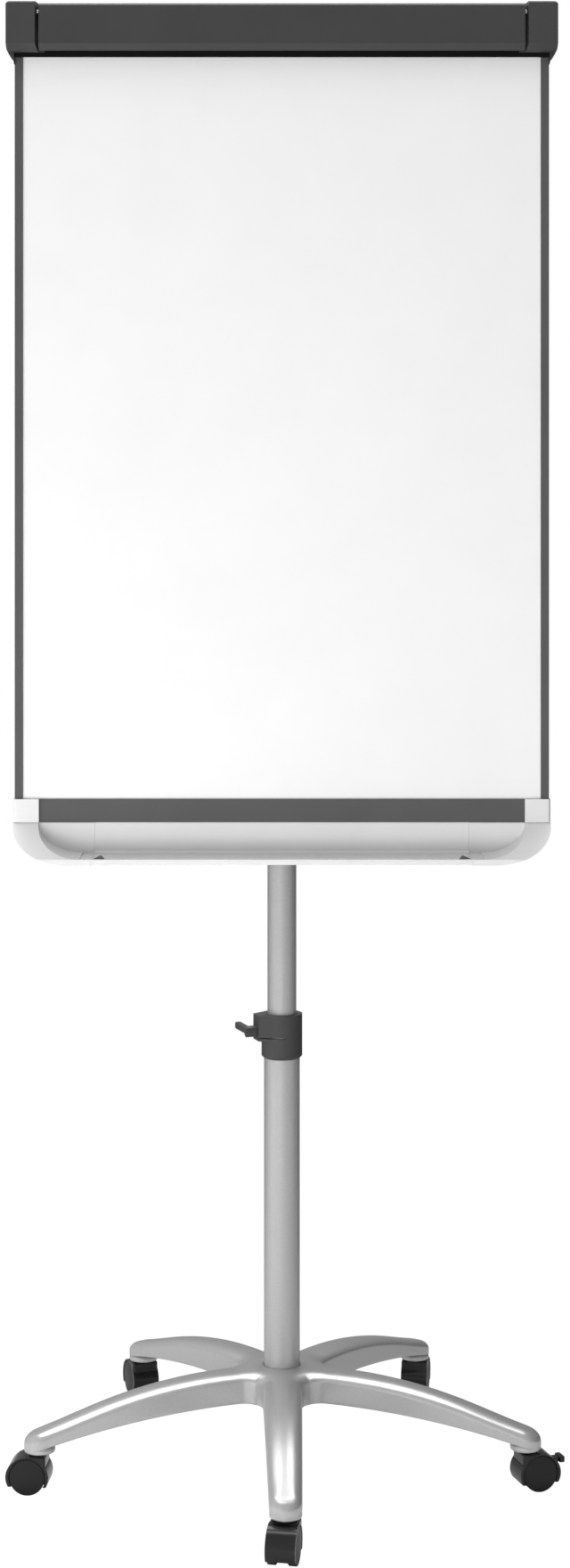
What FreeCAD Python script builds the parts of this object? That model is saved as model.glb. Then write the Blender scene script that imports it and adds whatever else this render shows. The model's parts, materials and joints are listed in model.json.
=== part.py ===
import FreeCAD, Part
import math
import os
import re
import Sketcher

# Mobile flip chart easel, in millimetres. +Z is up, -Y is the side the reader writes on and +X is
# the reader's right. The origin is the floor point under the mast's axis.
# Fore-and-aft positions are named "front" or "back" and are measured from the mast's axis towards
# the reader, so a point that is 32 in front of the mast lies at Y = -32.

SIZES = {
    # mast: a lower tube that stands in the base and an upper tube that telescopes in it
    "lower_tube_radius": 20.65, "lower_tube_bore": 19, "lower_tube_foot": 84,
    "lower_tube_top": 505,
    "upper_tube_radius": 16.65, "upper_tube_bore": 15, "upper_tube_foot": 265,
    "upper_tube_top": 1560,
    "running_gap": 0.05, "glide_height": 40, "plug_height": 20,
    "bush_foot": 464, "bush_flange_height": 4, "bush_flange_radius": 20.85,
    # collar and its clamping lever; the boss points to the reader's left and a little forwards
    "collar_radius": 23.5, "collar_foot": 466, "collar_top": 517, "collar_chamfer": 3,
    "lid_thickness": 7.3, "lid_gap": 0.5, "boss_reach": 31.6, "boss_half_width": 9.5,
    "boss_foot": 488, "boss_turn": 20, "screw_height": 498.5, "screw_radius": 3.95,
    "screw_way": 4.3, "insert_radius": 6, "insert_length": 8, "slit_height": 491, "slit_width": 1.2,
    "lever_hub_radius": 6.6, "lever_hub_length": 12, "lever_arm_length": 34, "lever_arm_width": 7.5,
    "lever_arm_height": 8,
    # base star
    "arm_reach": 286, "arm_root_half": 23.4, "arm_tip_half": 17.6, "boss_radius": 17.6,
    "boss_floor": 45, "crest_radius": 60, "crest_height": 111, "crest_arc": 575,
    "crest_end": 228, "tip_round": 16, "tip_fall": 13,
    "belly_radius": 50, "belly_height": 79.4, "belly_arc": 1020, "hub_top": 113.5, "hub_floor": 70,
    "hub_radius": 32, "valley_fillet": 21, "edge_fillet": 8, "wall": 3.5, "roof": 4.5, "rib": 3,
    "socket_radius": 5.7, "socket_depth": 17, "base_bolt_radius": 5, "base_bolt_head": 8.5,
    "washer_radius": 14, "washer_thickness": 2,
    # castors
    "wheel_radius": 20, "swivel_offset": 12, "wheel_inner": 6.8, "wheel_outer": 15.6,
    "wheel_dome": 16.9, "rim_inside": 16.5, "axle_radius": 2.5, "axle_half": 14,
    "hood_half_length": 24.2, "hood_half_height": 22, "hood_half_width": 16, "hood_bore": 20.6,
    "hood_skirt": 9.5, "web_half": 6.4, "web_hollow_half": 4.6, "web_hollow_radius": 18,
    "barrel_radius": 6.4, "barrel_foot": 12, "barrel_top": 43.8,
    "saddle_back": 8.5, "saddle_front": 13, "saddle_half": 15.9, "saddle_top": 43.4,
    "stem_radius": 4, "stem_foot": 16,
    "shank_radius": 5, "shank_top": 61, "ring_foot": 50, "ring_top": 58,
    "pedal_pivot_out": 14, "pedal_pivot_up": 10, "trunnion_radius": 1.5,
    # board: a steel-faced panel in a frame
    "board_half": 304.8, "board_foot": 741, "board_front": 32,
    "board_back": 18, "sheet": 0.6, "rail_width": 9.5, "rail_skin": 1.6, "rail_foot": 767.5,
    "corner_half": 277, "corner_front": 38, "corner_round": 4, "block_half": 306.2,
    "rail_top": 1613.1,
    # head: fixed rail, end caps and the sprung clamp bar
    "head_half": 304, "head_foot": 1613.3, "head_top": 1666, "head_front": 38, "head_back": 14,
    "cap_inner": 270.2, "cap_half": 312.3, "cap_front": 62, "cap_back": 12, "cap_top": 1672.3,
    "cap_foot": 1617.6, "cap_tail": 1605, "cap_waist": 308.6, "cap_waist_height": 1613,
    "bar_half": 275.5, "bar_front": 60, "bar_top": 1670.5, "bar_knee": 1624.6, "bar_skin": 2.7,
    "bar_lip_front": 51, "pivot_front": 50, "pivot_height": 1662, "pivot_pin": 2.5,
    "pin_inner": 244, "pin_outer": 288, "lug_radius": 6.2, "lug_length": 12,
    "coil_radius": 4.4, "coil_wire": 0.6, "coil_turns": 6, "coil_pitch": 1.8,
    "coil_leg": 15,
    "peg_radius": 2.9, "peg_shoulder": 38.4, "peg_front": 50, "peg_height": 1639, "peg_spread": 210,
    "peg_foot_half": 6,
    # tray
    "tray_half": 213.2, "tray_floor": 705, "tray_underside": 701, "tray_front": 98,
    "tray_back": 17, "tray_wall_front": 34, "tray_skin": 2.5, "lip_top": 706.7, "lip_back": 92,
    "tray_cove": 4, "tray_screw_spread": 180, "tray_screw_back": 25,
    "clip_sunk": 1.5, "clip_width": 16, "clip_rise": 6, "clip_slope": 11, "end_underside": 700.2,
    "end_sweep": 72, "end_inner_sweep": 50,
    # bracket that joins the board to the upper tube
    "bracket_half": 55, "bracket_height": 40, "bracket_low": 800, "bracket_high": 1480,
    "strap_radius": 19.2, "bracket_screw": 2, "bracket_screw_head": 4,
}
# Arm angles, and the way each castor trails, in degrees from +X, seen from above; then whether
# it has a brake. The base stands a little turned under the board.
CASTORS = {
    "front": (-89.2, -100, False),
    "right": (-17.2, 18, True),
    "back_right": (54.8, 81, False),
    "back_left": (126.8, 110, False),
    "left": (198.8, 175, False),
}
UP = FreeCAD.Vector(0, 0, 1)
ACROSS = FreeCAD.Rotation(FreeCAD.Vector(0, 1, 0), 90)
FORE_AFT = FreeCAD.Rotation(FreeCAD.Vector(1, 0, 0), 90)
UPRIGHT = FreeCAD.Rotation()
FIRST_ARM = FreeCAD.Rotation(UP, CASTORS["front"][0])

doc = FreeCAD.newDocument("FlipChartEasel")
sheet = doc.addObject("Spreadsheet::Sheet", "Sizes")
for row, (word, number) in enumerate(SIZES.items(), start=1):
    sheet.set(f"A{row}", word)
    sheet.set(f"B{row}", str(number))
    sheet.setAlias(f"B{row}", word)
doc.recompute()
sub_parts = []
TRAY_SCREWS = ("-tray_screw_spread", "0", "tray_screw_spread")


def linked(text):
    """An expression whose words are the sheet's aliases."""
    return re.sub(r"[a-z][a-z_]+", lambda m: f"Sizes.{m[0]}" if m[0] in SIZES else m[0], str(text))


def bind(item, **sizes):
    for name, text in sizes.items():
        item.setExpression(name, linked(text))
    return item


def place(item, x=0, y=0, z=0, turn=UPRIGHT):
    item.Placement = FreeCAD.Placement(FreeCAD.Vector(), turn)
    for axis, text in (("x", x), ("y", y), ("z", z)):
        item.setExpression(f"Placement.Base.{axis}", linked(text))
    return item


def box(name, low, high):
    """A block between two corners."""
    item = doc.addObject("Part::Box", name)
    spans = [f"({b}) - ({a})" for a, b in zip(low, high)]
    bind(item, Length=spans[0], Width=spans[1], Height=spans[2])
    return place(item, *low)


def rod(name, radius, length, x=0, y=0, z=0, turn=UPRIGHT):
    """A cylinder that starts at a point and runs along +Z, or the way it is turned."""
    item = bind(doc.addObject("Part::Cylinder", name), Radius=radius, Height=length)
    return place(item, x, y, z, turn)


def softened(block, radius):
    """The same block with every edge rounded."""
    item = doc.addObject("Part::Fillet", block.Name + "_soft")
    item.Base = block
    doc.recompute()
    item.Edges = [(i, radius, radius) for i in range(1, len(block.Shape.Edges) + 1)]
    return item


def tube(name, outer, inner, length, x=0, y=0, z=0, turn=UPRIGHT):
    shell = rod(name + "_outside", outer, length, x, y, z, turn)
    return cut(name, shell, rod(name + "_inside", inner, length, x, y, z, turn))


def fuse(name, *items):
    item = doc.addObject("Part::MultiFuse", name)
    item.Shapes = list(items)
    return item


def common(name, *items):
    item = doc.addObject("Part::MultiCommon", name)
    item.Shapes = list(items)
    return item


def cut(name, base, *tools):
    item = doc.addObject("Part::Cut", name)
    item.Base = base
    item.Tool = tools[0] if len(tools) == 1 else fuse(name + "_tools", *tools)
    return item


def group(name, *items):
    """Identical pieces that share a node, each its own solid."""
    item = doc.addObject("Part::Compound", name)
    item.Links = list(items)
    return item


def sub_part(item, label):
    item.Label = label
    sub_parts.append(item)
    return item


def origin_plane(body, role):
    return next(f for f in body.Origin.OriginFeatures if f.Role == role)


def new_sketch(body, role, name, lift=None):
    sketch = body.newObject("Sketcher::SketchObject", name)
    sketch.AttachmentSupport = [(origin_plane(body, role), "")]
    sketch.MapMode = "FlatFace"
    if lift is not None:
        sketch.setExpression("AttachmentOffset.Base.z", linked(lift))
    return sketch


def hold(sketch, kind, edge, end, start_value, text):
    number = sketch.addConstraint(Sketcher.Constraint(kind, -1, 1, edge, end, start_value))
    sketch.setExpression(f"Constraints[{number}]", linked(text))


def outline(sketch, *corners):
    """A closed outline. A corner is (x, y), or (x, y, radius, turn) where an arc leaves it, whose
    turn is 1 for anticlockwise and -1 for clockwise."""
    first = sketch.GeometryCount
    spots = [FreeCAD.Vector(number(c[0]), number(c[1]), 0) for c in corners]
    ends = []
    for corner, start, stop in zip(corners, spots, spots[1:] + spots[:1]):
        if len(corner) == 2:
            sketch.addGeometry(Part.LineSegment(start, stop))
            ends.append((1, 2))
        else:
            sketch.addGeometry(arc_between(start, stop, number(corner[2]), corner[3]))
            ends.append((1, 2) if corner[3] > 0 else (2, 1))
    total = len(corners)
    for i, corner in enumerate(corners):
        after = (i + 1) % total
        sketch.addConstraint(
            Sketcher.Constraint("Coincident", first + i, ends[i][1], first + after, ends[after][0])
        )
        hold(sketch, "DistanceX", first + i, ends[i][0], spots[i].x, corner[0])
        hold(sketch, "DistanceY", first + i, ends[i][0], spots[i].y, corner[1])
        if len(corner) == 4:
            radius = Sketcher.Constraint("Radius", first + i, number(corner[2]))
            sketch.setExpression(f"Constraints[{sketch.addConstraint(radius)}]", linked(corner[2]))
    return sketch


def arc_between(start, stop, radius, turn):
    chord = stop - start
    rise = math.sqrt(radius ** 2 - chord.Length ** 2 / 4)
    side = FreeCAD.Vector(-chord.y, chord.x, 0).normalize() * turn
    centre = (start + stop) * 0.5 + side * rise
    angles = [math.atan2(p.y - centre.y, p.x - centre.x) for p in (start, stop)]
    if turn < 0:
        angles.reverse()
    return Part.ArcOfCircle(Part.Circle(centre, UP, radius), *angles)


def disc(sketch, x, y, radius):
    spot = FreeCAD.Vector(number(x), number(y), 0)
    edge = sketch.addGeometry(Part.Circle(spot, UP, number(radius)))
    hold(sketch, "DistanceX", edge, 3, spot.x, x)
    hold(sketch, "DistanceY", edge, 3, spot.y, y)
    width = sketch.addConstraint(Sketcher.Constraint("Radius", edge, number(radius)))
    sketch.setExpression(f"Constraints[{width}]", linked(radius))
    return sketch


def number(text):
    """The present value of an expression over the sheet."""
    answer = sheet.evalExpression(re.sub("Sizes\\.", "", linked(text)))
    return float(getattr(answer, "Value", answer))


def new_body(name):
    return doc.addObject("PartDesign::Body", name)


def pad(body, sketch, length, midplane=False):
    feature = body.newObject("PartDesign::Pad", sketch.Name + "_pad")
    feature.Profile = sketch
    feature.Midplane = midplane
    return bind(feature, Length=length)


def spin(body, sketch, kind="Revolution", axis="V_Axis"):
    feature = body.newObject("PartDesign::" + kind, sketch.Name + "_spin")
    feature.Profile = sketch
    feature.ReferenceAxis = (sketch, [axis])
    feature.Angle = 360
    return feature


def five_times(body, feature, sketch):
    pattern = body.newObject("PartDesign::PolarPattern", feature.Name + "_five")
    pattern.Originals = [feature]
    pattern.Axis = (sketch, ["N_Axis"])
    pattern.Angle = 360
    pattern.Occurrences = len(CASTORS)
    body.Tip = pattern
    return pattern


def edges_where(feature, test):
    return [f"Edge{i}" for i, edge in enumerate(feature.Shape.Edges, start=1) if test(edge)]


def upright_edge(edge):
    ends = [v.Point for v in edge.Vertexes]
    return len(ends) == 2 and abs((ends[1] - ends[0]).normalize().z) > 0.999


def rounded(body, feature, radius, test, kind="Fillet"):
    doc.recompute()
    result = body.newObject("PartDesign::" + kind, feature.Name + "_" + kind.lower())
    result.Base = (feature, edges_where(feature, test))
    return bind(result, **{"Radius" if kind == "Fillet" else "Size": radius})


# ---- base star ---------------------------------------------------------------------------------

CREST_BENT = "(crest_end - crest_radius)"
CREST_RISE = f"sqrt(crest_arc ^ 2 - {CREST_BENT} ^ 2)"


def crest_at(reach):
    """The ridge's height at a reach past its arc, where it falls in a straight line."""
    slope = f"{CREST_BENT} / {CREST_RISE}"
    return f"(crest_height - crest_arc + {CREST_RISE} - {slope} * ({reach} - crest_end))"


def belly_drop(reach):
    return f"(belly_arc - sqrt(belly_arc ^ 2 - ({reach} - belly_radius) ^ 2))"


def ridge_groove(body, name, sink):
    """Cuts away everything above the ridge, which falls outwards on an arc, then straight, and
    rounds over at the arm's tip. sink lowers it."""
    reach, far, sky = "arm_reach + 6", "arm_reach + 40", "hub_top + 60"
    tip = f"{crest_at(reach)} - ({sink})"
    sketch = new_sketch(body, "XZ_Plane", name)
    outline(
        sketch,
        ("0", f"hub_top - ({sink})"), ("lower_tube_radius + 8", f"hub_top - ({sink})"),
        ("crest_radius", f"crest_height - ({sink})", "crest_arc", -1),
        ("crest_end", f"{crest_at('crest_end')} - ({sink})"),
        (reach, tip, "tip_round", -1), ("arm_reach + boss_radius + 0.5", f"{tip} - tip_fall"),
        (far, f"{tip} - tip_fall"), (far, sky), ("0", sky),
    )
    return spin(body, sketch, "Groove")


def arm_pad(body, name, foot, *outlines):
    sketch = new_sketch(body, "XY_Plane", name, foot)
    for corners in outlines:
        outline(sketch, *corners)
    arm = pad(body, sketch, "hub_top - boss_floor + 20")
    return five_times(body, arm, sketch)


def star_outside():
    body = new_body("star_outside")
    arm_pad(body, "arm_plan", "boss_floor - 5", [
        ("0", "-arm_root_half"), ("arm_reach", "-arm_tip_half"),
        ("arm_reach", "arm_tip_half"), ("0", "arm_root_half"),
    ])
    rounded(body, body.Tip, "valley_fillet", valley_edge)
    end = "arm_reach - boss_radius"
    belly = new_sketch(body, "XZ_Plane", "belly")
    outline(
        belly,
        ("0", "0"), ("arm_reach + 40", "0"), ("arm_reach + 40", f"belly_height - {belly_drop(end)}"),
        (end, f"belly_height - {belly_drop(end)}", "belly_arc", 1),
        ("belly_radius", "belly_height"), ("hub_radius", "belly_height"),
        ("hub_radius", "hub_floor"), ("0", "hub_floor"),
    )
    spin(body, belly, "Groove")
    sketch = new_sketch(body, "XY_Plane", "boss_plan", "boss_floor")
    disc(sketch, "arm_reach", "0", "boss_radius")
    five_times(body, pad(body, sketch, "hub_top - boss_floor"), sketch)
    ridge = ridge_groove(body, "ridge", "0")
    body.Tip = rounded(body, ridge, "edge_fillet", crest_edge)
    body.Placement.Rotation = FIRST_ARM
    return body


def valley_edge(edge):
    middle = edge.CenterOfMass
    return upright_edge(edge) and math.hypot(middle.x, middle.y) < SIZES["crest_radius"]


def crest_edge(edge):
    """True for the curved edges that lie on the ridge."""
    spot = edge.valueAt((edge.FirstParameter + edge.LastParameter) / 2)
    reach = math.hypot(spot.x, spot.y)
    arc = SIZES["crest_arc"]
    bent = max(0, min(reach, SIZES["crest_end"]) - SIZES["crest_radius"])
    rise = math.sqrt(arc ** 2 - bent ** 2)
    straight = max(0, reach - SIZES["crest_end"])
    crest = SIZES["crest_height"] - arc + rise - bent / rise * straight
    on_arm = SIZES["hub_radius"] - 2 < reach < SIZES["arm_reach"] + SIZES["boss_radius"]
    return on_arm and edge.Length > 1 and abs(spot.z - crest) < 3 and edge.Curve.TypeId != "Part::GeomLine"


def star_hollow():
    """The space under the shell: two channels along each arm, either side of a stiffening rib."""
    body = new_body("star_hollow")
    end = "arm_reach - boss_radius - wall"
    inner, outer = "rib / 2", "arm_tip_half - wall"
    channel = [
        ("hub_radius + wall", inner), (end, inner), (end, outer),
        ("hub_radius + wall", "arm_root_half - wall - 2"),
    ]
    mirrored = [(x, f"-({y})") for x, y in reversed(channel)]
    arm_pad(body, "channel_plan", "boss_floor - 5", channel, mirrored)
    body.Tip = ridge_groove(body, "roof_line", "roof")
    body.Placement.Rotation = FIRST_ARM
    return body


def base_star():
    stem_holes = []
    for tag, (arm, _, _) in CASTORS.items():
        stem_holes.append(rod(
            "socket_" + tag, "socket_radius", "socket_depth",
            f"arm_reach * cos({arm} deg)", f"arm_reach * sin({arm} deg)", "boss_floor",
        ))
    item = cut(
        "base_star_cast", star_outside(), star_hollow(), *stem_holes,
        rod("tube_socket", "lower_tube_radius + running_gap", "60", z="lower_tube_foot"),
        rod("bolt_way", "base_bolt_radius + 0.3", "60", z="hub_floor - 5"),
    )
    return sub_part(item, "base_star")


# ---- mast --------------------------------------------------------------------------------------

def mast():
    hole_turn = FreeCAD.Rotation(UP, 180 + SIZES["boss_turn"]) * ACROSS
    shell = tube(
        "lower_tube_shell", "lower_tube_radius", "lower_tube_bore",
        "lower_tube_top - lower_tube_foot", z="lower_tube_foot",
    )
    hole = rod("lower_tube_hole", "screw_way", "40", z="screw_height", turn=hole_turn)
    sub_part(cut("lower_tube_drilled", shell, hole), "lower_tube")
    sub_part(tube(
        "mast_plug_body", "lower_tube_bore", "base_bolt_radius", "plug_height", z="lower_tube_foot",
    ), "mast_plug")
    head_top = "hub_floor - washer_thickness"
    shank = rod("base_bolt_shank", "base_bolt_radius", f"lower_tube_foot + plug_height - {head_top}",
                z=head_top)
    head = doc.addObject("Part::Prism", "base_bolt_hex")
    head.Polygon = 6
    place(bind(head, Circumradius="base_bolt_head", Height="6.4"), z=f"{head_top} - 6.4")
    sub_part(fuse("base_bolt_body", shank, head), "base_bolt")
    sub_part(tube(
        "base_washer_body", "washer_radius", "base_bolt_radius + 0.25", "washer_thickness", z=head_top,
    ), "base_washer")
    sub_part(tube(
        "upper_tube_shell", "upper_tube_radius", "upper_tube_bore",
        "upper_tube_top - upper_tube_foot", z="upper_tube_foot",
    ), "upper_tube")
    sub_part(tube(
        "glide_body", "lower_tube_bore - running_gap", "upper_tube_radius", "glide_height",
        z="upper_tube_foot",
    ), "glide_ring")


def mast_bush():
    """Turns in the lower tube's mouth while the upper tube slides through it."""
    body = new_body("bush")
    sketch = new_sketch(body, "XZ_Plane", "bush_profile")
    bore, sleeve = "upper_tube_radius + running_gap", "lower_tube_bore - running_gap"
    seat = "lower_tube_top + running_gap"
    outline(
        sketch,
        (bore, "bush_foot"), (sleeve, "bush_foot"), (sleeve, seat), ("bush_flange_radius", seat),
        ("bush_flange_radius", f"{seat} + bush_flange_height"),
        (bore, f"{seat} + bush_flange_height"),
    )
    spin(body, sketch)
    sub_part(body, "mast_bush")


def clamp_collar():
    """Grips the lower tube, keeps the bush in, and carries the screw in a boss along its own -X."""
    body = new_body("collar")
    plan = disc(new_sketch(body, "XY_Plane", "collar_plan", "collar_foot"), "0", "0", "collar_radius")
    pad(body, plan, "collar_top - collar_foot")
    boss = new_sketch(body, "XY_Plane", "boss_outline", "boss_foot")
    tangent = "sqrt(collar_radius ^ 2 - 36) - 0.02"
    outline(
        boss,
        ("-6", tangent), ("-boss_reach", "boss_half_width"), ("-boss_reach", "-boss_half_width"),
        ("-6", f"-({tangent})"),
    )
    last = pad(body, boss, "collar_top - boss_foot")
    foot_edge = number("collar_foot")
    rounded(body, last, "collar_chamfer", lambda e: abs(e.BoundBox.ZMax - foot_edge) < 0.01, "Chamfer")
    lower = "collar_foot + 60"
    mouth = "collar_top - lid_thickness"
    item = cut(
        "collar_bored", body,
        rod("collar_bore", "lower_tube_radius + running_gap", f"{mouth} - collar_foot", z="collar_foot"),
        rod("collar_mouth", "bush_flange_radius + running_gap", f"{mouth} - lower_tube_top + 0.4",
            z="lower_tube_top - 0.4"),
        rod("collar_throat", "upper_tube_radius + lid_gap", lower, z="collar_foot"),
        rod("collar_screw_way", "screw_way", "boss_reach + 5", "-boss_reach - 5", z="screw_height",
            turn=ACROSS),
        rod("collar_insert_seat", "insert_radius", "insert_length + 0.1", "-boss_reach - 0.1",
            z="screw_height", turn=ACROSS),
        box("collar_slit", ("-40", "-40", "slit_height"), ("-4", "-9", "slit_height + slit_width")),
    )
    item.Placement.Rotation = FreeCAD.Rotation(UP, SIZES["boss_turn"])
    sub_part(item, "clamp_collar")


def clamp_lever():
    """The lever, its screw and the threaded insert, built along -X and turned with the boss."""
    turn = FreeCAD.Rotation(UP, SIZES["boss_turn"])
    insert = tube(
        "insert_body", "insert_radius", "screw_radius + running_gap", "insert_length",
        "-boss_reach", z="screw_height", turn=ACROSS,
    )
    tip = "lower_tube_bore + 0.15"
    thread = rod("screw_thread", "screw_radius", f"boss_reach + 6 - ({tip}) - 3", "-boss_reach - 6",
                 z="screw_height", turn=ACROSS)
    nose = rod("screw_nose", "screw_radius - 1", "3.5", f"-({tip}) - 3.5", z="screw_height", turn=ACROSS)
    screw = fuse("screw_body", thread, nose)
    inner_end = "-boss_reach - 0.3"
    hub = doc.addObject("Part::Prism", "lever_hub")
    hub.Polygon = 8
    bind(hub, Circumradius="lever_hub_radius", Height="lever_hub_length")
    place(hub, f"{inner_end} - lever_hub_length", z="screw_height", turn=ACROSS)
    outer = f"{inner_end} - lever_hub_length"
    arm = box(
        "lever_arm", (f"{outer} - 2", "-4", "screw_height - lever_arm_height / 2 + 1.5"),
        (f"{outer} + lever_arm_width - 2", "lever_arm_length", "screw_height + lever_arm_height / 2 + 1.5"),
    )
    bore = rod("lever_bore", "screw_radius", "6.5", "-boss_reach - 6", z="screw_height", turn=ACROSS)
    lever = cut("lever_body", fuse("lever_form", hub, softened(arm, 1.8)), bore)
    for item, label in ((insert, "clamp_insert"), (screw, "clamp_screw"), (lever, "clamp_lever")):
        item.Placement.Rotation = turn
        sub_part(item, label)


# ---- castors -----------------------------------------------------------------------------------

def castor_hood(tag, braked):
    """Elliptical shell over both wheels, with a saddle that rises under the arm's boss, a hollow
    web between the wheels and a barrel for the stem.
    The castor's own origin is on the floor under its swivel axis, and the wheels trail along +X."""
    ellipse = bind(
        doc.addObject("Part::Ellipse", "hood_ellipse_" + tag),
        MajorRadius="hood_half_length", MinorRadius="hood_half_height",
    )
    place(ellipse, "swivel_offset", "hood_half_width", "wheel_radius", FORE_AFT)
    shell = doc.addObject("Part::Extrusion", "hood_shell_" + tag)
    shell.Base = ellipse
    shell.DirMode = "Custom"
    shell.Dir = FreeCAD.Vector(0, -1, 0)
    shell.Solid = True
    bind(shell, LengthFwd="2 * hood_half_width")
    saddle = box("hood_saddle_" + tag, ("-saddle_back", "-saddle_half", "wheel_radius"),
                 ("saddle_front", "saddle_half", "saddle_top"))
    middle = {"x": "swivel_offset", "z": "wheel_radius", "turn": FORE_AFT}
    space = "hood_half_width - web_half + 1"
    carved = cut(
        "hood_carved_" + tag, fuse("hood_cover_" + tag, shell, softened(saddle, 3)),
        rod("hood_space_left_" + tag, "hood_bore", space, y="hood_half_width + 1", **middle),
        rod("hood_space_right_" + tag, "hood_bore", space, y="-web_half", **middle),
        rod("hood_web_hollow_" + tag, "web_hollow_radius", "2 * web_hollow_half",
            y="web_hollow_half", **middle),
        box("hood_skirt_" + tag, ("-30", "-20", "-5"), ("70", "20", "hood_skirt")),
    )
    tools = [
        rod("hood_stem_way_" + tag, "stem_radius + running_gap", "60", z="stem_foot - 0.3"),
        rod("hood_axle_way_" + tag, "axle_radius", "2 * web_half + 2", y="web_half + 1", **middle),
    ]
    if braked:
        out = "swivel_offset + pedal_pivot_out"
        up = "wheel_radius + pedal_pivot_up"
        tools += [
            box("hood_window_" + tag, (f"{out} - 3", "-web_hollow_half", f"{up} - 7"),
                (f"{out} + 20", "web_hollow_half", f"{up} + 4.5")),
            rod("hood_pivot_way_" + tag, "trunnion_radius + running_gap", "2 * web_half + 2",
                out, "web_half + 1", up, FORE_AFT),
        ]
    hub = rod("hood_axle_hub_" + tag, "axle_radius + 2.5", "2 * web_half", y="web_half", **middle)
    barrel = rod("hood_barrel_" + tag, "barrel_radius", "barrel_top - barrel_foot", z="barrel_foot")
    return cut("hood_body_" + tag, fuse("hood_form_" + tag, carved, hub, barrel), *tools)


def castor_wheel(tag, side):
    """A dished wheel, turned about the axle; side is 1 for the one at +Y and -1 for the other."""
    body = new_body(f"wheel_{tag}_{'left' if side > 0 else 'right'}")
    sketch = new_sketch(body, "XY_Plane", body.Name + "_profile")
    bore = "axle_radius + running_gap"
    rise = "(wheel_dome - wheel_outer)"
    crown = f"((wheel_radius - 0.5) ^ 2 + {rise} ^ 2) / (2 * {rise})"
    corners = [
        (bore, "wheel_inner"), (f"{bore} + 2.6", "wheel_inner"), (f"{bore} + 2.6", "wheel_outer - 2.2"),
        ("rim_inside", "wheel_outer - 2.2"), ("rim_inside", "wheel_inner"),
        ("wheel_radius - 0.6", "wheel_inner"), ("wheel_radius", "wheel_inner + 0.6"),
        ("wheel_radius", "wheel_outer - 0.5"), ("wheel_radius - 0.5", "wheel_outer", crown, 1),
        ("0", "wheel_dome"), ("0", "axle_half + 0.3"), (bore, "axle_half + 0.3"),
    ]
    if side < 0:
        mirrored = [(c[0], f"-({c[1]})") for c in corners]
        mirrored[8] += (crown, -1)
        corners = mirrored
    outline(sketch, *corners)
    spin(body, sketch)
    return body


def brake_pedal(tag):
    out = "swivel_offset + pedal_pivot_out"
    up = "wheel_radius + pedal_pivot_up"
    half = "web_hollow_half - 0.3"
    arm = box("pedal_arm_" + tag, (f"{out} - 4", f"-({half})", f"{up} - 2.5"),
              (f"{out} + 14", half, f"{up} + 2.5"))
    tab = box("pedal_tab_" + tag, (f"{out} + 12.5", "-7.5", f"{up} - 3"), (f"{out} + 19", "7.5", f"{up} + 4"))
    trunnion = rod("pedal_trunnion_" + tag, "trunnion_radius", "2 * web_half - 0.4", out,
                   "web_half - 0.2", up, FORE_AFT)
    return fuse("pedal_body_" + tag, arm, softened(tab, 1.5), trunnion)


def castors():
    stems, rings = [], []
    for tag, (arm, trail, braked) in CASTORS.items():
        x, y = f"arm_reach * cos({arm} deg)", f"arm_reach * sin({arm} deg)"
        stems.append(fuse(
            "stem_" + tag,
            rod("stem_pin_" + tag, "stem_radius", "boss_floor - stem_foot", x, y, "stem_foot"),
            rod("stem_flange_" + tag, "stem_radius + 2.5", "1", x, y, "boss_floor - 1"),
            rod("stem_shank_" + tag, "shank_radius", "shank_top - boss_floor", x, y, "boss_floor"),
        ))
        rings.append(tube(
            "ring_" + tag, "socket_radius - 0.02", "shank_radius + 0.02", "ring_top - ring_foot",
            x, y, "ring_foot",
        ))
        pieces = [
            (castor_hood(tag, braked), "hood_" + tag),
            (rod("axle_pin_" + tag, "axle_radius", "2 * axle_half", "swivel_offset", "axle_half",
                 "wheel_radius", FORE_AFT), "axle_" + tag),
        ]
        if braked:
            pieces.append((brake_pedal(tag), "brake_pedal_" + tag))
        for side, name in ((1, "wheel_a_"), (-1, "wheel_b_")):
            pieces.append((castor_wheel(tag, side), name + tag))
        for item, label in pieces:
            stand(item, arm, trail, label)
    sub_part(group("castor_stems_group", *stems), "castor_stems")
    sub_part(group("stem_rings_group", *rings), "stem_rings")


def stand(item, arm, trail, label):
    """Puts a castor piece, made about its swivel axis, under its arm and turns it to trail."""
    turn = FreeCAD.Rotation(UP, trail)
    x, y = f"arm_reach * cos({arm} deg)", f"arm_reach * sin({arm} deg)"
    if label.startswith("axle_"):
        offset = f" + swivel_offset * cos({trail} deg) - axle_half * sin({trail} deg)"
        rise = f" + swivel_offset * sin({trail} deg) + axle_half * cos({trail} deg)"
        place(item, x + offset, y + rise, "wheel_radius", turn * FORE_AFT)
    elif label.startswith("wheel_"):
        offset, rise = f" + swivel_offset * cos({trail} deg)", f" + swivel_offset * sin({trail} deg)"
        place(item, x + offset, y + rise, "wheel_radius", turn)
    else:
        place(item, x, y, turn=turn)
    sub_part(item, label)


# ---- board -------------------------------------------------------------------------------------

def panel():
    edge = "board_half - rail_skin"
    foot, top = "board_foot + 1.5", "head_foot + 40"
    screws = [(side * 40, f"bracket_{level} + {up}") for level in ("low", "high")
              for side in (-1, 1) for up in (10, 30)]
    layers = (
        ("panel_face", "board_front - sheet", "board_front", False),
        ("panel_core", "board_back + sheet", "board_front - sheet", True),
        ("panel_back", "board_back", "board_back + sheet", True),
    )
    for label, back, front, drilled in layers:
        item = box(label + "_sheet", (f"-({edge})", f"-({front})", foot), (edge, f"-({back})", top))
        if drilled:
            ways = [
                rod(f"{label}_way_{i}", "bracket_screw + 0.05", "11", x, "-board_back + 1", z, FORE_AFT)
                for i, (x, z) in enumerate(screws)
            ]
            item = cut(label + "_drilled", item, *ways)
        sub_part(item, label)


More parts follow.
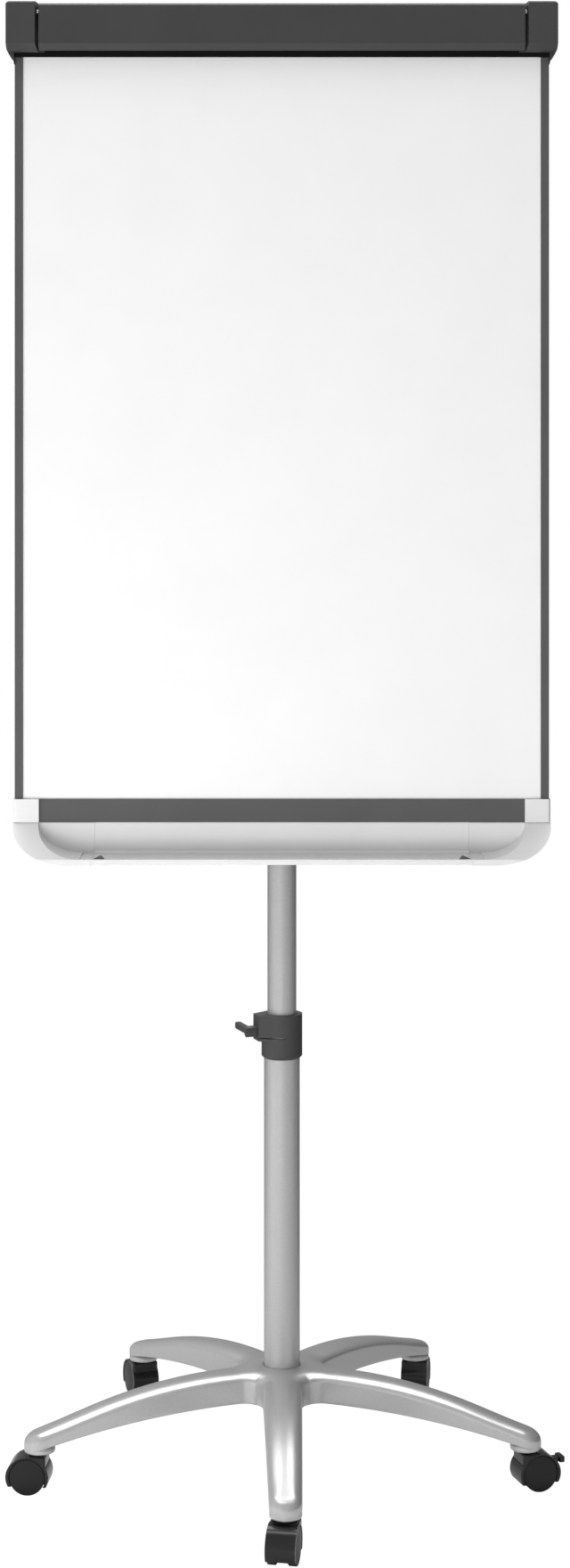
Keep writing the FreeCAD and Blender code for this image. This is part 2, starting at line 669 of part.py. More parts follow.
def panel_room(name):
    """The space that the panel fills, for the pieces that wrap its edge."""
    return box(name, ("-board_half + rail_skin", "-board_front - 0.05", "board_foot + 1.5"),
               ("board_half - rail_skin", "-board_back + 0.05", "head_foot + 40.4"))


def side_rails():
    for name, low, high in (
        ("side_rail_left", "-board_half", "-board_half + rail_width"),
        ("side_rail_right", "board_half - rail_width", "board_half"),
    ):
        bar = box(name + "_bar", (low, "-board_front - 1.5", "rail_foot"),
                  (high, "-board_back + 1.5", "rail_top"))
        sub_part(cut(name + "_channel", bar, panel_room(name + "_slot")), name)


def bottom_rail():
    bar = box("bottom_rail_bar", ("-corner_half", "-board_front - 3", "board_foot"),
              ("corner_half", "-board_back + 1.2", "rail_foot"))
    ways = [rod(f"bottom_rail_way_{i}", "bracket_screw + 0.05", "6", x, "-tray_screw_back",
                "board_foot - 1") for i, x in enumerate(TRAY_SCREWS)]
    sub_part(cut("bottom_rail_channel", bar, panel_room("bottom_rail_slot"), *ways), "bottom_rail")


def corner_blocks():
    for name, low, high, outer in (
        ("corner_block_left", "-block_half", "-corner_half", -1),
        ("corner_block_right", "corner_half", "block_half", 1),
    ):
        body = new_body(name + "_form")
        plan = new_sketch(body, "XY_Plane", name + "_plan", "board_foot")
        back, front = "-board_back + 2", "-corner_front"
        outline(plan, (low, front), (high, front), (high, back), (low, back))
        block = pad(body, plan, "rail_foot - board_foot")
        spot = FreeCAD.Vector(outer * SIZES["block_half"], -SIZES["corner_front"], 0)
        rounded(body, block, "corner_round", lambda e, s=spot: upright_edge(e)
                and math.hypot(e.CenterOfMass.x - s.x, e.CenterOfMass.y - s.y) < 1)
        sub_part(cut(name + "_slotted", body, panel_room(name + "_slot")), name)


def head_rail():
    """Extruded rail over the panel's top edge, with an undercut slot for the pad pegs."""
    body = new_body("head_rail_form")
    profile = new_sketch(body, "YZ_Plane", "head_rail_profile")
    slot_low, slot_high = "peg_height - peg_radius - 0.3", "peg_height + peg_radius + 0.3"
    room_low, room_high = "peg_height - peg_foot_half", "peg_height + peg_foot_half"
    throat, depth = "-head_front + 2.5", "-board_front - 0.6"
    outline(
        profile,
        ("-head_front", "head_foot"), ("-head_back", "head_foot"), ("-head_back", "head_top"),
        ("-head_front", "head_top"), ("-head_front", slot_high), (throat, slot_high),
        (throat, room_high), (depth, room_high), (depth, room_low), (throat, room_low),
        (throat, slot_low), ("-head_front", slot_low),
    )
    pad(body, profile, "2 * head_half", midplane=True)
    sub_part(cut("head_rail_channel", body, panel_room("head_rail_slot")), "head_rail")


def pad_pegs():
    """Each peg is a foot that slides behind the slot, a neck in the slot and a pin in front of it."""
    for name, side in (("peg_left", -1), ("peg_right", 1)):
        x = f"{side} * peg_spread"
        foot = box(name + "_foot",
                   (f"{x} - peg_foot_half", "-head_front + 2.55", "peg_height - peg_foot_half + 0.1"),
                   (f"{x} + peg_foot_half", "-board_front - 0.65", "peg_height + peg_foot_half - 0.1"))
        neck = rod(name + "_neck", "peg_radius - 0.4", "peg_shoulder - board_front - 2", x,
                   "-board_front - 2", "peg_height", FORE_AFT)
        pin = rod(name + "_pin", "peg_radius", "peg_front - peg_shoulder", x, "-peg_shoulder",
                  "peg_height", FORE_AFT)
        sub_part(fuse(name + "_body", foot, neck, pin), name)


def head_caps():
    """Plan outline met by front and side outlines, round the fixed rail's end: the inner side
    slopes back beside the clamp bar, and a thin tail curves in to the side rail."""
    for name, side in (("head_cap_left", -1), ("head_cap_right", 1)):
        sign = "" if side > 0 else "-"
        plan_body = new_body(name + "_plan_form")
        plan = new_sketch(plan_body, "XY_Plane", name + "_plan", "cap_tail - 5")
        corners = [
            ("cap_inner", "-cap_back"), ("cap_inner", "-head_front - 0.5"),
            ("bar_half + 0.4", "-head_front - 1.5"), ("cap_half - 33", "-cap_front"),
            ("cap_half", "-cap_front"), ("cap_half", "-cap_back"),
        ]
        outline(plan, *[(f"{sign}({x})", y) for x, y in corners])
        pad(plan_body, plan, "cap_top - cap_tail + 10")
        front_body = new_body(name + "_front_form")
        front = new_sketch(front_body, "XZ_Plane", name + "_front")
        corners = [
            ("cap_inner - 2", "cap_foot"), ("board_half + 0.1", "cap_foot"),
            ("board_half + 0.1", "cap_tail"), ("board_half + 0.4", "cap_tail", "11.1", -side),
            ("cap_waist", "cap_waist_height", "10.5", side), ("cap_half", "cap_waist_height + 8"),
            ("cap_half", "cap_top - 3"), ("cap_half - 3", "cap_top"), ("cap_inner - 2", "cap_top"),
        ]
        outline(front, *[(f"{sign}({c[0]})", *c[1:]) for c in corners])
        pad(front_body, front, "200", midplane=True)
        side_body = new_body(name + "_side_form")
        profile = new_sketch(side_body, "YZ_Plane", name + "_side")
        outline(
            profile,
            ("-cap_back", "cap_tail - 5"), ("-head_front - 2", "cap_tail - 5"),
            ("-head_front - 2", "cap_foot"), ("-bar_lip_front", "cap_foot"),
            ("-cap_front", "bar_knee"), ("-cap_front", "cap_top - 1.5"),
            ("-cap_front + 1.5", "cap_top"), ("-cap_back", "cap_top"),
        )
        pad(side_body, profile, "700", midplane=True)
        form = common(name + "_form", plan_body, front_body, side_body)
        pin_start = "pin_inner" if side > 0 else "-pin_outer"
        way = rod(name + "_pin_way", "pivot_pin + 0.02", "pin_outer - pin_inner", pin_start,
                  "-pivot_front", "pivot_height", ACROSS)
        room = box(name + "_rail_room", ("-head_half - 0.1", "-head_front - 0.05", "head_foot - 0.1"),
                   ("head_half + 0.1", "0", "head_top + 0.05"))
        sub_part(cut(name + "_body", form, way, room), name)


def clamp_bar():
    """Bent strip over the pegs, with a lug at each end that turns on a pin in the end cap."""
    body = new_body("clamp_bar_form")
    profile = new_sketch(body, "YZ_Plane", "clamp_bar_profile")
    skin_front, roof_line = "-bar_front + bar_skin", "bar_top - bar_skin"
    outline(
        profile,
        ("-bar_lip_front", "cap_foot"), ("-bar_lip_front + 2", "cap_foot + 1.8"),
        (skin_front, "bar_knee + 1"), (skin_front, roof_line), ("-pivot_front + 4", roof_line),
        ("-pivot_front + 4", "bar_top"), ("-bar_front + 2.5", "bar_top"),
        ("-bar_front", "bar_top - 2.5"),
        ("-bar_front", "bar_knee"),
    )
    pad(body, profile, "2 * bar_half", midplane=True)
    lugs, ways = [], []
    for name, start in (("left", "-bar_half"), ("right", "bar_half - lug_length")):
        lugs.append(rod("bar_lug_" + name, "lug_radius", "lug_length", start, "-pivot_front",
                        "pivot_height", ACROSS))
        ways.append(rod("bar_way_" + name, "pivot_pin + running_gap", "lug_length + 2",
                        f"{start} - 1", "-pivot_front", "pivot_height", ACROSS))
    form = fuse("clamp_bar_lugged", body, *lugs)
    sub_part(cut("clamp_bar_body", form, *ways), "clamp_bar")


def hinge_pins_and_springs():
    pins, springs = [], []
    for name, side in (("left", -1), ("right", 1)):
        start = "pin_inner" if side > 0 else "-pin_outer"
        pins.append(rod("hinge_pin_" + name, "pivot_pin", "pin_outer - pin_inner", start,
                        "-pivot_front", "pivot_height", ACROSS))
        springs.append(torsion_spring(name, side))
    sub_part(group("hinge_pins_group", *pins), "hinge_pins")
    sub_part(group("clamp_springs_group", *springs), "clamp_springs")


def torsion_spring(name, side):
    """A close coil round the hinge pin, inboard of the lug, with a leg hanging behind it."""
    coil, wire = SIZES["coil_radius"], SIZES["coil_wire"]
    pitch, turns = SIZES["coil_pitch"], SIZES["coil_turns"]
    helix = Part.makeHelix(pitch, pitch * turns, coil)
    start, end = helix.Vertexes[0].Point, helix.Vertexes[-1].Point
    ring = Part.Wire([Part.makeCircle(wire, start, FreeCAD.Vector(0, 1, 0))])
    shape = Part.Wire(helix.Edges).makePipeShell([ring], True, True)
    leg_start = end - FreeCAD.Vector(0, 1, 0)
    shape = shape.fuse(Part.makeCylinder(wire, SIZES["coil_leg"], leg_start, FreeCAD.Vector(0, 1, 0)))
    item = doc.addObject("Part::Feature", "clamp_spring_" + name)
    item.Shape = shape
    lean = FreeCAD.Rotation(FreeCAD.Vector(1, 0, 0), -98)
    item.Placement = FreeCAD.Placement(
        FreeCAD.Vector(side * (SIZES["bar_half"] - SIZES["lug_length"] - 3.5), -SIZES["pivot_front"],
                       SIZES["pivot_height"]),
        lean * FreeCAD.Rotation(FreeCAD.Vector(0, 1, 0), -90 * side),
    )
    return item


# ---- tray --------------------------------------------------------------------------------------

def tray():
    body = new_body("tray_form")
    profile = new_sketch(body, "YZ_Plane", "tray_profile")
    wall_back = "-tray_wall_front + tray_skin"
    cove_back = "-tray_wall_front - tray_cove"
    outline(
        profile,
        ("-tray_back", "board_foot"), ("-tray_back", "board_foot - tray_skin"),
        (wall_back, "board_foot - tray_skin"), (wall_back, "tray_underside"),
        ("-tray_front", "tray_underside"), ("-tray_front", "lip_top"), ("-lip_back", "lip_top"),
        ("-lip_back", "tray_floor"), (cove_back, "tray_floor", "tray_cove + 0.01", -1),
        ("-tray_wall_front", "tray_floor + tray_cove"), ("-tray_wall_front", "board_foot"),
    )
    pad(body, profile, "2 * tray_half", midplane=True)
    ways = [rod(f"tray_way_{i}", "bracket_screw + 0.05", "6", x, "-tray_screw_back", "board_foot - 4")
            for i, x in enumerate(TRAY_SCREWS)]
    for name, side in (("left", -1), ("right", 1)):
        near, far = f"{side} * (tray_half - clip_width - 0.1)", f"{side} * (tray_half + 1)"
        low, high = (near, far) if side > 0 else (far, near)
        ways.append(box("tray_clip_seat_" + name, (low, "-lip_back", "tray_floor - clip_sunk"),
                        (high, "-lip_back + 2.3", "tray_floor + 1")))
    sub_part(cut("tray_body", body, *ways), "tray")
    tray_screws()
    tray_clips()


def tray_screws():
    """Three screws up through the tray's back edge into the bottom rail."""
    screws = []
    for i, x in enumerate(TRAY_SCREWS):
        y, seat = "-tray_screw_back", "board_foot - tray_skin"
        screws.append(fuse(
            f"tray_screw_{i}",
            rod(f"tray_screw_head_{i}", "bracket_screw_head", "2", x, y, f"{seat} - 2"),
            rod(f"tray_screw_shank_{i}", "bracket_screw", "tray_skin + 1.3", x, y, seat),
        ))
    sub_part(group("tray_screws_group", *screws), "tray_screws")


def tray_clips():
    """A small wedge behind the lip at each end of the tray."""
    clips = []
    for name, side in (("left", -1), ("right", 1)):
        clip_body = new_body("tray_clip_" + name)
        plan = new_sketch(clip_body, "XZ_Plane", "tray_clip_outline_" + name, "lip_back - 2.2")
        sign = "" if side > 0 else "-"
        corners = [
            ("tray_half - clip_width", "tray_floor - clip_sunk"),
            ("tray_half", "tray_floor - clip_sunk"), ("tray_half", "tray_floor + 1"),
            ("tray_half - clip_slope", "tray_floor + clip_rise"),
            ("tray_half - clip_width", "tray_floor + 0.3"),
        ]
        outline(plan, *[(f"{sign}({x})", z) for x, z in corners])
        pad(clip_body, plan, "2")
        clips.append(clip_body)
    sub_part(group("tray_clips_group", *clips), "tray_clips")


def quarter_ellipse(centre_x, centre_z, half_x, half_z):
    """The lower outer quarter of an ellipse in the XZ plane, from its lowest point to its side."""
    curve = Part.Ellipse(FreeCAD.Vector(0, 0, 0), half_x, half_z)
    edge = Part.ArcOfEllipse(curve, 1.5 * math.pi, 2 * math.pi).toShape()
    edge.rotate(FreeCAD.Vector(), FreeCAD.Vector(1, 0, 0), 90)
    edge.translate(FreeCAD.Vector(centre_x, 0, centre_z))
    return edge


def tray_ends():
    """Each end is a band between two quarter ellipses, seen from the front, that runs from the
    corner block down and round into the lip, and whose front slopes forwards as it falls."""
    s = SIZES
    joint = s["board_foot"] - 0.4
    inner_x, outer, inner = s["tray_half"] + 0.2, s["end_sweep"], s["end_inner_sweep"]
    outer_centre, inner_centre = s["block_half"] - outer, s["corner_half"] - inner
    outer_corner = quarter_ellipse(outer_centre, joint, outer, joint - s["end_underside"])
    inner_corner = quarter_ellipse(inner_centre, joint, inner, joint - s["lip_top"])
    band = filled([
        corner_point(inner_x, s["end_underside"]), outer_corner,
        corner_point(s["corner_half"], joint), inner_corner, corner_point(inner_x, s["lip_top"]),
    ], FreeCAD.Vector(0, -120, 0))
    side = filled([
        FreeCAD.Vector(0, -s["tray_back"], s["end_underside"] - 5),
        FreeCAD.Vector(0, -s["tray_front"], s["end_underside"] - 5),
        FreeCAD.Vector(0, -s["tray_front"], s["lip_top"]),
        FreeCAD.Vector(0, -s["corner_front"], joint), FreeCAD.Vector(0, -s["tray_back"], joint),
    ], FreeCAD.Vector(400, 0, 0))
    end = band.common(side)
    inside = filled([
        corner_point(inner_x, s["lip_top"]), inner_corner, corner_point(inner_x, joint),
    ], FreeCAD.Vector(0, -120, 0))
    wall = Part.makeBox(100, s["tray_skin"], 100, FreeCAD.Vector(inner_x, -s["tray_wall_front"], joint - 100))
    end = end.fuse(wall.common(inside))
    sunk = Part.makeBox(
        inner_centre - inner_x, s["lip_back"] - s["tray_wall_front"], 10,
        FreeCAD.Vector(inner_x, -s["lip_back"], s["tray_floor"]),
    )
    end = end.cut(sunk).removeSplitter()
    for name in ("tray_end_left", "tray_end_right"):
        item = doc.addObject("Part::Feature", name + "_shape")
        item.Shape = end if name.endswith("right") else end.mirror(FreeCAD.Vector(), FreeCAD.Vector(1, 0, 0))
        sub_part(item, name)


def corner_point(x, z):
    return FreeCAD.Vector(x, 0, z)


def filled(steps, sweep):
    """A prism over a closed chain of points and edges, which are joined by straight lines."""
    edges, cursor = [], None
    start = steps[0]
    for step in steps + [start]:
        if isinstance(step, FreeCAD.Vector):
            if cursor is not None and (step - cursor).Length > 1e-6:
                edges.append(Part.makeLine(cursor, step))
            cursor = step
            continue
        near, far = step.Vertexes[0].Point, step.Vertexes[-1].Point
        if (far - cursor).Length < (near - cursor).Length:
            near, far = far, near
        if (near - cursor).Length > 1e-6:
            edges.append(Part.makeLine(cursor, near))
        edges.append(step)
        cursor = far
    return Part.Face(Part.Wire(Part.__sortEdges__(edges))).extrude(sweep)


# ---- brackets ----------------------------------------------------------------------------------

def brackets():
    screws = []
    for level in ("low", "high"):
        foot, top = f"bracket_{level}", f"bracket_{level} + bracket_height"
        plate = box(f"bracket_{level}_plate", ("-bracket_half", "-board_back", foot),
                    ("bracket_half", "-board_back + 2.5", top))
        strap = rod(f"bracket_{level}_strap", "strap_radius", "bracket_height", z=foot)
        trim = box(f"bracket_{level}_trim", ("-60", "-60", f"{foot} - 1"),
                   ("60", "-board_back", f"{top} + 1"))
        way = rod(f"bracket_{level}_way", "upper_tube_radius + 0.02", "bracket_height + 2", z=f"{foot} - 1")
        ways = []
        for side in (-1, 1):
            for up in (10, 30):
                spot = (side * 40, "-board_back + 2.5", f"{foot} + {up}")
                tag = f"{level}_{side}_{up}"
                ways.append(rod("bracket_way_" + tag, "bracket_screw + 0.05", "5", spot[0],
                                "-board_back + 3", spot[2], FORE_AFT))
                shank = rod("bracket_shank_" + tag, "bracket_screw", "11.5", *spot, FORE_AFT)
                head = rod("bracket_head_" + tag, "bracket_screw_head", "2.4", spot[0],
                           "-board_back + 4.9", spot[2], FORE_AFT)
                screws.append(fuse("bracket_screw_" + tag, shank, head))
        item = cut(f"bracket_{level}_body", fuse(f"bracket_{level}_form", plate, strap), trim, way, *ways)
        sub_part(item, "bracket_lower" if level == "low" else "bracket_upper")
    sub_part(group("bracket_screws_group", *screws), "bracket_screws")


def check_and_write():
    doc.recompute()
    faults = [f"{o.Name} {o.State}" for o in doc.Objects if {"Invalid", "Error"} & set(o.State)]
    for item in sub_parts:
        shape = item.Shape
        if shape.isNull() or not shape.isValid() or not shape.Solids:
            faults.append(f"{item.Label} has no valid solid")
    if faults:
        raise SystemExit("\n".join(faults))
    os.makedirs("parts", exist_ok=True)
    for item in sub_parts:
        item.Shape.exportStep(f"parts/{item.Label}.step")


base_star()
mast()
mast_bush()
clamp_collar()
clamp_lever()
castors()
panel()
side_rails()
bottom_rail()
corner_blocks()
head_rail()
pad_pegs()
head_caps()
clamp_bar()
hinge_pins_and_springs()
tray()
tray_ends()
brackets()
check_and_write()
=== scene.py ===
import json
import math

import bmesh
import bpy
from mathutils import Matrix, Vector


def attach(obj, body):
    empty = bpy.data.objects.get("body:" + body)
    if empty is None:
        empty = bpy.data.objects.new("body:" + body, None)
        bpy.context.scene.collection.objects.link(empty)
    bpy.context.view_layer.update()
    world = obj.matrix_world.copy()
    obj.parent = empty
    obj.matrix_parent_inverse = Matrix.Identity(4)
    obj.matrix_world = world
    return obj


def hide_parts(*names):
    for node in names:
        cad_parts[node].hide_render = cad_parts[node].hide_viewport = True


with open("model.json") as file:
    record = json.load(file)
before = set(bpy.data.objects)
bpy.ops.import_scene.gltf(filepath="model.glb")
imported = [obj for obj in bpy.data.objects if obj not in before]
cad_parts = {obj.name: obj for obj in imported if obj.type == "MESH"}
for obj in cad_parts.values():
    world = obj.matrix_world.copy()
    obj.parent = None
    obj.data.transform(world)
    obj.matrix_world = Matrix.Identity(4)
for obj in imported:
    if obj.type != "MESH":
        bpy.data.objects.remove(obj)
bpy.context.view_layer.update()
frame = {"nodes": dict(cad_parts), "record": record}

# The flip chart easel's looks, in metres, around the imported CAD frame: +Z up, the board faces -Y,
# and the origin is on the floor under the mast. The CAD nodes are kept, rounded at their edges and
# painted, except the cast base, which is rebuilt here as a smooth mesh in the same place.

MM = 0.001

# ---- materials ---------------------------------------------------------------------------------

NOISE_DETAIL, NOISE_LOW, NOISE_HIGH = 2.0, 0.3, 0.7
DRIFT_SCALE, GLOSS_DRIFT, COAT_ROUGH = 14, 0.12, 0.12
FLAKE_SCALE, FLAKE_CONTRAST = 2600, 0.10
SILVER_DRIFT_SCALE, SILVER_GLOSS_DRIFT, SILVER_METALLIC = 60, 0.05, 0.6
SILVER_COAT, SILVER_COAT_ROUGH = 0.2, 0.22


def shader_tree(name):
    """A new material: its node tree, its principled shader and its surface coordinates."""
    made = bpy.data.materials.new(name)
    made.use_nodes = True
    tree = made.node_tree
    place = tree.nodes.new("ShaderNodeTexCoord").outputs["Object"]
    return made, tree, tree.nodes["Principled BSDF"], place


def noise(tree, place, scale):
    made = tree.nodes.new("ShaderNodeTexNoise")
    made.inputs["Scale"].default_value = scale
    made.inputs["Detail"].default_value = NOISE_DETAIL
    tree.links.new(place, made.inputs["Vector"])
    return made.outputs["Fac"]


def spread(tree, value, low, high, before=NOISE_LOW, after=NOISE_HIGH):
    """Maps a value from before..after, which is a noise's usual span, onto low..high."""
    made = tree.nodes.new("ShaderNodeMapRange")
    for socket, number in (("From Min", before), ("From Max", after), ("To Min", low), ("To Max", high)):
        made.inputs[socket].default_value = number
    tree.links.new(value, made.inputs["Value"])
    return made.outputs["Result"]


def tint(tree, factor, dark, light):
    """A colour between dark and light."""
    made = tree.nodes.new("ShaderNodeMix")
    made.data_type = "RGBA"
    made.inputs["A"].default_value = (*dark, 1)
    made.inputs["B"].default_value = (*light, 1)
    tree.links.new(factor, made.inputs["Factor"])
    return made.outputs["Result"]


def bump(tree, shader, height, distance):
    made = tree.nodes.new("ShaderNodeBump")
    made.inputs["Distance"].default_value = distance
    tree.links.new(height, made.inputs["Height"])
    tree.links.new(made.outputs["Normal"], shader.inputs["Normal"])


def grey(level, warmth=0.0):
    return (level * (1 + warmth), level, level * (1 - warmth))


def coated(name, level, rough, grain, metallic=0.0, mottle=0.06, coat=0.0, specular=0.5, warmth=0.0):
    """A paint or plastic: a grain of some scale and depth, a slow drift in colour, and uneven gloss."""
    made, tree, shader, place = shader_tree(name)
    grain_scale, grain_depth = grain
    slow = noise(tree, place, DRIFT_SCALE)
    fine = noise(tree, place, grain_scale)
    dark, light = grey(level * (1 - mottle), warmth), grey(level * (1 + mottle), warmth)
    tree.links.new(tint(tree, spread(tree, slow, 0, 1), dark, light), shader.inputs["Base Color"])
    gloss = spread(tree, fine, rough * (1 - GLOSS_DRIFT), rough * (1 + GLOSS_DRIFT))
    tree.links.new(gloss, shader.inputs["Roughness"])
    shader.inputs["Metallic"].default_value = metallic
    shader.inputs["Specular IOR Level"].default_value = specular
    shader.inputs["Coat Weight"].default_value = coat
    shader.inputs["Coat Roughness"].default_value = COAT_ROUGH
    bump(tree, shader, fine, grain_depth)
    return made


def silver_paint(name, level, rough):
    """Metallic paint: bright and dark flakes under a clear coat, with slightly uneven gloss."""
    made, tree, shader, place = shader_tree(name)
    cells = tree.nodes.new("ShaderNodeTexVoronoi")
    cells.inputs["Scale"].default_value = FLAKE_SCALE
    tree.links.new(place, cells.inputs["Vector"])
    value = tree.nodes.new("ShaderNodeSeparateColor")
    tree.links.new(cells.outputs["Color"], value.inputs["Color"])
    dark, light = grey(level * (1 - FLAKE_CONTRAST)), grey(level * (1 + FLAKE_CONTRAST))
    tree.links.new(tint(tree, value.outputs["Red"], dark, light), shader.inputs["Base Color"])
    slow = noise(tree, place, SILVER_DRIFT_SCALE)
    gloss = spread(tree, slow, rough * (1 - SILVER_GLOSS_DRIFT), rough * (1 + SILVER_GLOSS_DRIFT))
    tree.links.new(gloss, shader.inputs["Roughness"])
    shader.inputs["Metallic"].default_value = SILVER_METALLIC
    shader.inputs["Coat Weight"].default_value = SILVER_COAT
    shader.inputs["Coat Roughness"].default_value = SILVER_COAT_ROUGH
    return made


PAINTS = {
    "silver_casting": silver_paint("silver_casting", 0.50, 0.30),
    "silver_tube": silver_paint("silver_tube", 0.46, 0.36),
    "graphite_plastic": coated("graphite_plastic", 0.040, 0.52, (1400, 0.00003)),
    "black_metal": coated("black_metal", 0.004, 0.7, (900, 0.00002), specular=0.2),
    "graphite_metal": coated("graphite_metal", 0.036, 0.48, (1100, 0.00003), coat=0.05),
    # A lighter copy of the graphite paint for the side and bottom rails: painted light, since these rails
    # are lit more than the top bar.
    "rail_graphite_painted_lit": coated("rail_graphite_painted_lit", 0.075, 0.50, (1100, 0.00003), coat=0.05),
    "white_lacquer": coated("white_lacquer", 0.80, 0.16, (90, 0.000005), mottle=0.01, coat=0.4),
    "core_board": coated("core_board", 0.35, 0.8, (700, 0.0002), warmth=0.25),
    "zinc_sheet": coated("zinc_sheet", 0.60, 0.45, (500, 0.00002), metallic=0.7, mottle=0.05),
    "light_plastic": coated("light_plastic", 0.67, 0.40, (1300, 0.00002), mottle=0.02),
    "black_nylon": coated("black_nylon", 0.006, 0.22, (700, 0.00001), coat=0.15, specular=0.4),
    "wheel_nylon": coated("wheel_nylon", 0.007, 0.42, (1000, 0.00002), specular=0.35),
    "bright_steel": coated("bright_steel", 0.58, 0.26, (1500, 0.00001), metallic=1.0),
    "brass": coated("brass", 0.45, 0.3, (900, 0.00002), metallic=1.0, warmth=0.35),
    # Dark grey for the tray clips, which are light plastic: painted shade in the shadowed corners of the
    # tray.
    "grey_plastic": coated("grey_plastic", 0.10, 0.5, (1200, 0.00002)),
}

# ---- CAD nodes that keep their shape -------------------------------------------------------------

EDGE_SEGMENTS, EDGE_ANGLE, EDGE_WIDTH = 2, math.radians(30), 0.3 * MM
WELD_DISTANCE = 0.001 * MM
OTHER_EDGES = {"panel_face": 0.1 * MM, "panel_core": 0.1 * MM, "panel_back": 0.1 * MM, "clamp_bar": 0.4 * MM,
               "lower_tube": 0.4 * MM, "upper_tube": 0.4 * MM, "clamp_springs": 0.0}
SLOT_OF = {part["node"]: part["material_slot"] for part in frame["record"]["subparts"]}
BODY_OF = {node: body for body, nodes in frame["record"]["behaviour"]["bodies"].items() for node in nodes}
# The side and bottom rails take the lighter graphite copy, which is painted light.
PAINT_OF = {**SLOT_OF, "side_rail_left": "rail_graphite_painted_lit", "side_rail_right": "rail_graphite_painted_lit",
            # The tray clips are painted dark grey: painted shade where the tray's corners lie in shadow.
            "bottom_rail": "rail_graphite_painted_lit", "tray_clips": "grey_plastic"}


def soften(node, width):
    """Rounds a CAD node's edges with modifiers, and smooths its shading."""
    thing = frame["nodes"][node]
    if "custom_normal" in thing.data.attributes:
        thing.data.attributes.remove(thing.data.attributes["custom_normal"])
    for face in thing.data.polygons:
        face.use_smooth = True
    weld = thing.modifiers.new("weld", "WELD")
    weld.merge_threshold = WELD_DISTANCE
    round_off = thing.modifiers.new("round_off", "BEVEL")
    round_off.width = width
    round_off.segments = EDGE_SEGMENTS
    round_off.limit_method = "ANGLE"
    round_off.angle_limit = EDGE_ANGLE
    round_off.harden_normals = True
    round_off.use_clamp_overlap = True


for node, thing in frame["nodes"].items():
    thing.data.materials.clear()
    thing.data.materials.append(PAINTS[PAINT_OF[node]])
    soften(node, OTHER_EDGES.get(node, EDGE_WIDTH))

# ---- mesh building -------------------------------------------------------------------------------

LATHE_STEPS, SMOOTH_LEVELS = 48, 1
SAME_POINT, NO_EDGE = 0.001 * MM, 0.0001 * MM


def up(height):
    return Vector((0, 0, height))


def flat(angle, reach):
    return Vector((math.cos(angle) * reach, math.sin(angle) * reach, 0))


def add_sheet(mesh, rows):
    """Joins rows of points, each as long as the next, with quads."""
    made = [[mesh.verts.new(point) for point in row] for row in rows]
    for near, far in zip(made, made[1:]):
        for i in range(len(near) - 1):
            mesh.faces.new((near[i], far[i], far[i + 1], near[i + 1]))


def add_lathe(mesh, profile, centre):
    """Spins a closed outline of (radius, height) points about a vertical line."""
    ring = list(profile) + [profile[0]]
    angles = [math.tau * step / LATHE_STEPS for step in range(LATHE_STEPS + 1)]
    rows = [[centre + flat(angle, radius) + up(height) for radius, height in ring] for angle in angles]
    add_sheet(mesh, rows)


def finish_mesh(mesh, name, node):
    """Welds a bmesh into a smooth object that takes the place of a CAD node and its finish."""
    bmesh.ops.remove_doubles(mesh, verts=mesh.verts, dist=SAME_POINT)
    bmesh.ops.dissolve_degenerate(mesh, edges=mesh.edges, dist=NO_EDGE)
    bmesh.ops.recalc_face_normals(mesh, faces=mesh.faces)
    data = bpy.data.meshes.new(name)
    mesh.to_mesh(data)
    mesh.free()
    for face in data.polygons:
        face.use_smooth = True
    thing = bpy.data.objects.new(name, data)
    bpy.context.scene.collection.objects.link(thing)
    data.materials.append(PAINTS[SLOT_OF[node]])
    rounder = thing.modifiers.new("smooth", "SUBSURF")
    rounder.levels = rounder.render_levels = SMOOTH_LEVELS
    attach(thing, BODY_OF[node])
    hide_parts(node)


# ---- base star -----------------------------------------------------------------------------------

ARMS = 5
ARM_REACH, ROOT_HALF, TIP_HALF, VALLEY_ROUND = 286 * MM, 23.4 * MM, 17.6 * MM, 21 * MM
BORE, HUB_RING, HUB_TOP, SEAT = 20.7 * MM, 27 * MM, 113.5 * MM, 84 * MM
CREST_AT, CREST, CREST_ARC, CREST_STRAIGHT = 60 * MM, 111 * MM, 575 * MM, 228 * MM
BELLY_AT, BELLY, BELLY_ARC = 50 * MM, 79.4 * MM, 1020 * MM
CROWN_IN, CROWN_DOWN, TIP_CROWN_IN, TIP_CROWN_DOWN = 17 * MM, 7.5 * MM, 11 * MM, 8 * MM
LIP, ROOF, RIB, TURNED = 3.5 * MM, 4.5 * MM, 1.5 * MM, 0.7 * MM
CORE, CORE_FLOOR, BOLT_WAY = 32 * MM, 70 * MM, 5.3 * MM
BOSS_FLOOR, BOSS_TOP, SOCKET = 45 * MM, 54 * MM, 5.7 * MM
VALLEY_START, VALLEY_END, TIP_START, TIP_END = 50 * MM, 66 * MM, ARM_REACH - 12 * MM, ARM_REACH - 4 * MM
TIP_CROWN_START, TIP_CROWN_SPAN = ARM_REACH - 24 * MM, 30 * MM
HUB_ROWS, VALLEY_ROWS, ARM_ROWS, TIP_ROWS = 5, 7, 24, 9
CROWN_COLUMNS, FLAT_COLUMNS, WALL_ROWS = 8, 3, 4
HALF_TURN, FIRST_ARM = math.pi / ARMS, math.radians(-89.2)
SIDE_SLOPE = (TIP_HALF - ROOT_HALF) / ARM_REACH


def crest_height(reach):
    """The arms' ridge: nearly level over the hub, then falling on a long arc and a straight slope."""
    if reach < CREST_AT:
        share = max(0.0, (reach - HUB_RING) / (CREST_AT - HUB_RING))
        return HUB_TOP - (HUB_TOP - CREST) * share * share * (3 - 2 * share)
    bent = min(reach, CREST_STRAIGHT) - CREST_AT
    drop = math.sqrt(CREST_ARC ** 2 - bent ** 2)
    return CREST - CREST_ARC + drop - bent / drop * (reach - CREST_AT - bent)


